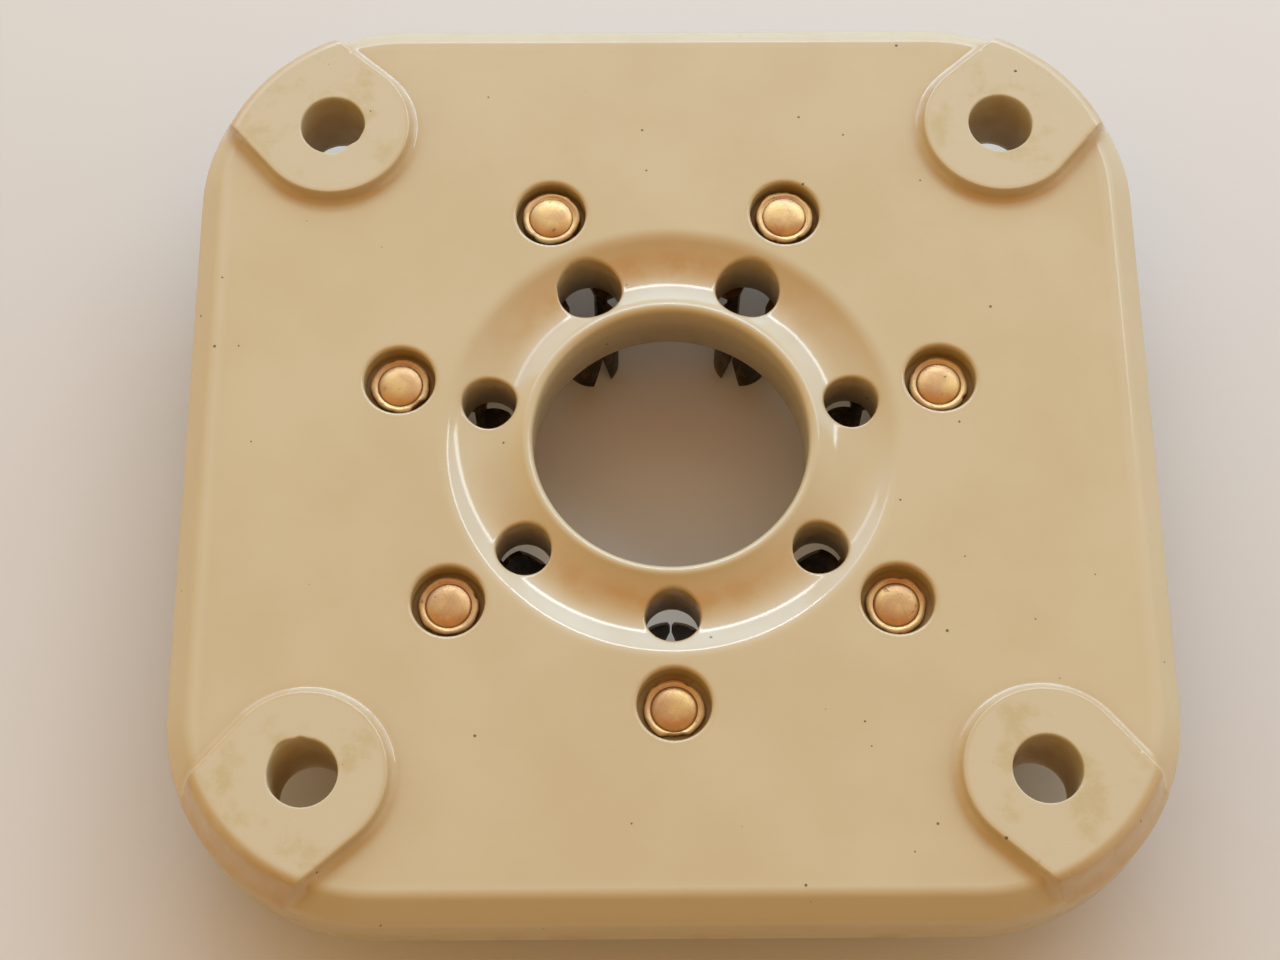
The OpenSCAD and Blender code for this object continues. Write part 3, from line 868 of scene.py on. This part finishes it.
def rivet_mesh(s, plate, number):
    """Mesh of one rivet in its place, its dull vertices, and its seam vertices, which hold grime with painted
    shade.
    """
    steps = RIVET_STEPS
    angles = np.arange(steps) * 2 * math.pi / steps
    floor = -(plate.pad_height + plate.rivet_recess_depth) / MM
    seat = -plate.depth / MM + plate.recess_depth / MM - s.strap_thickness / MM
    low = seat - s.head_thickness / MM
    head, shank = s.head / MM / 2, s.shank / MM / 2
    spread, dome = s.spread / MM / 2, s.dome / MM / 2
    upper = floor + s.spread_thickness / MM + RIVET_LIFT[number - 1]
    rise = s.dome_height / MM
    phase = number * 1.7
    torn = 0.04 * np.sin(3 * angles + phase) + 0.025 * np.sin(7 * angles + 2.1 * phase)
    torn += 0.012 * np.sin(17 * angles + 3.3 * phase)
    tear = np.zeros(steps)
    for at, deep, wide in RIVET_TEARS[number - 1]:
        turn = np.angle(np.exp(1j * (angles - math.radians(at))))
        tear += deep * np.exp(-(turn / wide) ** 4)
    edge = np.maximum(spread + torn - 0.07 - tear, dome + 0.34)
    sag = 0.035 * np.sin(2 * angles + phase) + 0.02 * np.sin(5 * angles + phase)
    brim = np.minimum(edge - 0.2, dome + 0.28)
    rings = [
        (0.6, low), (head - 0.35, low), (head - 0.12, low + 0.08), (head, low + 0.3),
        (head, seat - 0.05), (head - 0.06, seat), (shank, seat), (shank, floor),
        (edge - 0.1, floor + 0.02), (edge, floor + 0.16 + 0.3 * sag), (edge - 0.02, upper - 0.2 + sag),
        (edge - 0.07, upper - 0.06 + sag), (edge - 0.15, upper - 0.01 + sag),
        (brim, upper - 0.01 + 0.6 * sag), ((brim + dome + 0.05) / 2, upper - 0.05),
        (dome + 0.05, upper - 0.1), (dome, upper - 0.09), (dome - 0.03, upper - 0.02),
    ]
    for part in DOME_STEPS:
        z = upper + rise * (1 - part ** 3.4)
        rings.append((dome * part, z + 0.02 * np.sin(3 * angles + phase) * part ** 2))
    dull = np.repeat([ring in DULL_RINGS for ring in range(len(rings))], steps)
    seam = np.repeat([ring in SEAM_RINGS for ring in range(len(rings))], steps)
    vertices, faces = [], []
    ones = np.ones(steps)
    for reach, z in rings:
        spots = zip(ones * reach, angles, ones * z)
        vertices += [(away * math.cos(a), away * math.sin(a), height) for away, a, height in spots]
    for ring in range(len(rings) - 1):
        for k in range(steps):
            m = (k + 1) % steps
            a, b = ring * steps, (ring + 1) * steps
            faces.append((a + k, a + m, b + m, b + k))
    faces.append(tuple(range(steps - 1, -1, -1)))
    last = (len(rings) - 1) * steps
    faces.append(tuple(range(last, last + steps)))
    turn = pin_angle(number)
    away = plate.rivet_circle / MM / 2
    return np.array(vertices) + (away * math.cos(turn), away * math.sin(turn), 0), faces, dull, seam


def rivet_material(s):
    material, w, shader, place = new_material("Worn Rivet Brass")
    clouds = w.clouds(place, 520.0, 0.38, 0.62)
    marks = w.scratches(place, 3200.0, 0.07)
    tone = w.mix(clouds["Clouds"], s.brass, s.copper)
    rough = w.noise(place, 1300.0, 4.0, 0.65)
    dull = w.math("MULTIPLY", w.painted("dull"), w.ramp(rough, 0.3, 0.5, 0.6, 1.0))
    old = w.mix(w.ramp(w.noise(place, 700.0, 3.0, 0.6), 0.5, 0.62), s.dull, s.patina)
    tone = w.mix(dull, tone, old)
    dirt_and_shade = w.math("MULTIPLY", w.ramp(rough, 0.62, 0.72), 0.55)
    # The seam is darkened by grime and by painted shade in the gap around the spread end and at the dome's
    # foot
    seam = w.math("MULTIPLY", w.painted("seam"), w.ramp(rough, 0.36, 0.5, 0.35, 0.9))
    grime_and_shade_mask = w.math("MAXIMUM", w.math("MAXIMUM", dirt_and_shade, seam), marks)
    height = w.math("SUBTRACT", w.math("MULTIPLY", clouds["Grain"], 0.5), marks)
    w.fill(shader, {
        "Base Color": w.mix(grime_and_shade_mask, tone, s.grime_and_shade),
        "Metallic": w.blend(w.math("MAXIMUM", dull, grime_and_shade_mask), 1.0, 0.45),
        "Roughness": w.blend(dull, w.blend(clouds["Grain"], 0.3, 0.5), 0.6),
        "Normal": w.bump(height, 0.3, 0.0001),
    })
    return material


# Contacts

# Least angle of an edge that is softened, in degrees
SHARP_EDGE = 50


def contact_material(s):
    material, w, shader, place = new_material("Tarnished Contact Brass")
    clouds = w.clouds(place, 190.0, 0.42, 0.6)
    marks = w.scratches(place, 1500.0, 0.5)
    # Mostly the near-black tone: tarnish together with painted shade on the jaws
    tone = w.mix(w.blend(clouds["Clouds"], 0.72, 0.97), s.brass, s.tarnish)
    w.fill(shader, {
        "Base Color": w.mix(w.math("MULTIPLY", marks, 0.35), tone, s.brass),
        "Metallic": w.blend(clouds["Clouds"], 0.95, 0.75),
        "Roughness": w.blend(clouds["Grain"], 0.3, 0.6),
        "Normal": w.bump(clouds["Grain"], 0.3, 0.0001),
    })
    return material


def finish_contacts(s):
    """Give the contacts' CAD nodes their finish and softened edges."""
    material = contact_material(s)
    for number in range(1, PIN_COUNT + 1):
        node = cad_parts[f"contact_{number}"]
        node.data.materials.clear()
        node.data.materials.append(material)
        soft = node.modifiers.new("Soft edges", "BEVEL")
        soft.width = s.ease
        soft.segments = 2
        soft.limit_method = "ANGLE"
        soft.angle_limit = math.radians(SHARP_EDGE)


# Stage

# Half the width of the floor, in metres
FLOOR_REACH = 3.0
# Lamps around the back, as name, turn in degrees, distance and width in metres,
# and shares of the power of the windows and of the brows
LAMPS = (
    ("Right", 48, 0.55, 0.37, 0.50, 0.63),
    ("Back", 88, 0.60, 0.48, 1.2, 1.2),
    ("Left", 121, 0.60, 0.23, 0.24, 0.16),
)
# Middle and height of the windows, and of the brows above them, in metres
WINDOW_Z, WINDOW_TALL = 0.2575, 0.389
BROW_Z, BROW_TALL = 0.496, 0.088
# Angles in degrees from the back over the top at which the soft light has tones
ARCH_ANGLES = (0, 45, 60, 75, 95, 130, 180)
# Directions of the camera's right side and back, and its place in metres
CAMERA_RIGHT = (0.99996, -0.00732, 0.00515)
CAMERA_BACK = (-0.00759, -0.38731, 0.92192)
CAMERA_PLACE = (-0.004266, -0.085088, 0.191313)


def floor_material(s):
    material, w, shader, place = new_material("Pale Floor")
    clouds = w.clouds(place, 6.0, 0.2, 0.8)
    darker = [value * 0.96 for value in s.floor]
    w.fill(shader, {
        "Base Color": w.mix(clouds["Clouds"], s.floor, darker),
        "Roughness": w.blend(clouds["Grain"], 0.35, 0.5),
    })
    return material


def add_floor(s):
    corners = [(x * FLOOR_REACH, y * FLOOR_REACH, 0) for x, y in ((-1, -1), (1, -1), (1, 1), (-1, 1))]
    mesh = bpy.data.meshes.new("floor")
    mesh.from_pydata(corners, [], [(0, 1, 2, 3)])
    mesh.materials.append(floor_material(s))
    floor = bpy.data.objects.new("floor", mesh)
    floor.location.z = s.floor_low
    bpy.context.scene.collection.objects.link(floor)


def add_area(name, place, size, power, tone):
    """Area lamp that faces the upright axis through the socket."""
    light = bpy.data.lights.new(name, "AREA")
    light.shape = "RECTANGLE"
    light.size, light.size_y = size
    light.energy = power
    light.color = tone
    lamp = bpy.data.objects.new(name, light)
    lamp.location = place
    aim = Vector((0, 0, place[2])) - Vector(place)
    lamp.rotation_euler = aim.to_track_quat("-Z", "Y").to_euler()
    lamp.visible_camera = False
    bpy.context.scene.collection.objects.link(lamp)


def add_lamps(s):
    for name, turn, far, wide, window, brow in LAMPS:
        x, y = far * math.cos(math.radians(turn)), far * math.sin(math.radians(turn))
        window, brow = window * s.window_power, brow * s.brow_power
        add_area(f"{name} window", (x, y, WINDOW_Z), (wide, WINDOW_TALL), window, s.window_tone)
        add_area(f"{name} brow", (x, y, BROW_Z), (wide, BROW_TALL), brow, s.brow_tone)


def add_camera(s):
    data = bpy.data.cameras.new("Camera")
    data.sensor_width = 36.0
    data.lens = s.lens
    data.clip_start = 0.005
    camera = bpy.data.objects.new("Camera", data)
    right = Vector(CAMERA_RIGHT).normalized()
    back = Vector(CAMERA_BACK)
    back = (back - right * back.dot(right)).normalized()
    up = back.cross(right)
    turn = Matrix((right, up, back)).transposed().to_4x4()
    camera.matrix_world = Matrix.Translation(CAMERA_PLACE) @ turn
    bpy.context.scene.collection.objects.link(camera)
    bpy.context.scene.camera = camera


def set_world(s):
    """Light the scene by an arch of tones from the back over the top to the front, and by two sides."""
    world = bpy.data.worlds.new("Soft Light")
    world.use_nodes = True
    world.node_tree.nodes.clear()
    w = Wiring(world.node_tree)
    around = w.add("ShaderNodeTexCoord").outputs["Generated"]
    parts = w.add("ShaderNodeSeparateXYZ", {"Vector": around}).outputs
    turn = w.math("ARCTAN2", parts["Z"], parts["Y"])
    arch = w.add("ShaderNodeValToRGB", {"Fac": w.math("DIVIDE", turn, math.pi)})
    stops = arch.color_ramp.elements
    for degrees in ARCH_ANGLES:
        stop = stops.new(degrees / 180) if 0 < degrees < 180 else stops[-1 if degrees else 0]
        stop.color = rgba(getattr(s, f"arch_{degrees}"))
    tone = w.mix(w.ramp(parts["X"], -0.5, -0.9), arch.outputs["Color"], s.left_tone)
    tone = w.mix(w.ramp(parts["X"], 0.5, 0.9), tone, s.right_tone)
    light = w.add("ShaderNodeBackground", {"Color": tone, "Strength": s.sky})
    w.add("ShaderNodeOutputWorld", {"Surface": light.outputs[0]})
    bpy.context.scene.world = world


# Operators and panel


class SOCKET_OT_plate(bpy.types.Operator):
    """Build the glazed ceramic plate"""

    bl_idname = "socket.plate"
    bl_label = "Ceramic plate"

    def execute(self, context):
        shape = PlateShape(context.scene.socket_plate)
        vertices, faces, top_count, dirt_and_shade = plate_mesh(shape)
        piece = make_piece("glazed_plate", vertices, faces, ["ceramic_base"])
        if len(piece.data.vertices) != len(vertices):
            raise RuntimeError("the plate's mesh lost vertices")
        bare, pool = plate_paint(shape, vertices, top_count)
        paint(piece.data, "bare", bare)
        paint(piece.data, "pool", pool)
        paint(piece.data, "sunk", dirt_and_shade)
        piece.data.materials.append(glaze_material(context.scene.socket_glaze))
        return {"FINISHED"}


class SOCKET_OT_rivets(bpy.types.Operator):
    """Build the seven rivets with their torn and worn upper ends"""

    bl_idname = "socket.rivets"
    bl_label = "Rivets"

    def execute(self, context):
        settings = context.scene.socket_rivets
        material = rivet_material(settings)
        for number in range(1, PIN_COUNT + 1):
            vertices, faces, dull, seam = rivet_mesh(settings, context.scene.socket_plate, number)
            piece = make_piece(f"worn_rivet_{number}", vertices, faces, [f"rivet_{number}"])
            paint(piece.data, "dull", dull)
            paint(piece.data, "seam", seam)
            piece.data.materials.append(material)
        return {"FINISHED"}


class SOCKET_OT_contacts(bpy.types.Operator):
    """Tarnish the seven brass contacts, darkened further by painted shade"""

    bl_idname = "socket.contacts"
    bl_label = "Contacts"

    def execute(self, context):
        finish_contacts(context.scene.socket_contacts)
        return {"FINISHED"}


class SOCKET_OT_stage(bpy.types.Operator):
    """Set the floor, the lights and the camera"""

    bl_idname = "socket.stage"
    bl_label = "Stage"

    def execute(self, context):
        s = context.scene.socket_stage
        add_floor(s)
        add_lamps(s)
        set_world(s)
        add_camera(s)
        context.scene.view_settings.view_transform = "Standard"
        return {"FINISHED"}


class SOCKET_PT_panel(bpy.types.Panel):
    """Sizes, colours and steps of the socket"""

    bl_label = "Seven-pin socket"
    bl_idname = "SOCKET_PT_panel"
    bl_space_type = "VIEW_3D"
    bl_region_type = "UI"
    bl_category = "Socket"

    def draw(self, context):
        for operator in OPERATORS:
            self.layout.operator(operator.bl_idname)
        for name, kind in SETTINGS.items():
            box = self.layout.box()
            box.label(text=kind.__doc__)
            for field in kind.__annotations__:
                box.prop(getattr(context.scene, name), field)


SETTINGS = {
    "socket_plate": SocketPlateSettings,
    "socket_glaze": SocketGlazeSettings,
    "socket_rivets": SocketRivetSettings,
    "socket_contacts": SocketContactSettings,
    "socket_stage": SocketStageSettings,
}
OPERATORS = (SOCKET_OT_plate, SOCKET_OT_rivets, SOCKET_OT_contacts, SOCKET_OT_stage)


def register():
    for name, kind in SETTINGS.items():
        bpy.utils.register_class(kind)
        setattr(bpy.types.Scene, name, bpy.props.PointerProperty(type=kind))
    for kind in OPERATORS + (SOCKET_PT_panel,):
        bpy.utils.register_class(kind)


def unregister():
    for kind in (SOCKET_PT_panel,) + OPERATORS[::-1]:
        bpy.utils.unregister_class(kind)
    for name, kind in SETTINGS.items():
        delattr(bpy.types.Scene, name)
        bpy.utils.unregister_class(kind)


def main():
    register()
    bpy.ops.socket.plate()
    bpy.ops.socket.rivets()
    bpy.ops.socket.contacts()
    bpy.ops.socket.stage()


if __name__ == "__main__":
    main()
